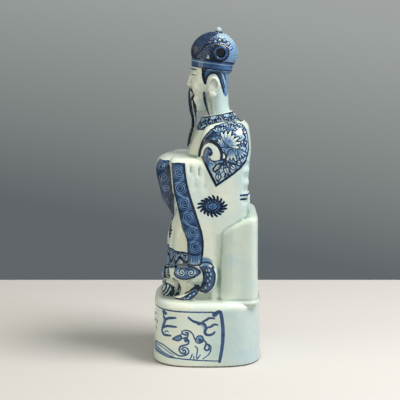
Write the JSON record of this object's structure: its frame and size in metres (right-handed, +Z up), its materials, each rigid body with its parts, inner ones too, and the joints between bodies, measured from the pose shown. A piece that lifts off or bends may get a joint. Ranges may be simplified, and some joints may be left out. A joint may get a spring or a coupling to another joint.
{
  "type": "seated deity figure in blue and white porcelain",
  "caption": "Blue and white porcelain figure of a bearded official seated on a block throne, cast in one with its plinth.",
  "frame": {"origin": "middle of the foot, on the surface that the figure stands on", "axes": "+Z up, the figure faces -Y, its left hand is towards +X"},
  "size_m": [0.151, 0.134, 0.404],
  "materials": {
    "porcelain": "gloss"
  },
  "bodies": {
    "root": {"deity_figure": "porcelain"}
  },
  "joints": []
}
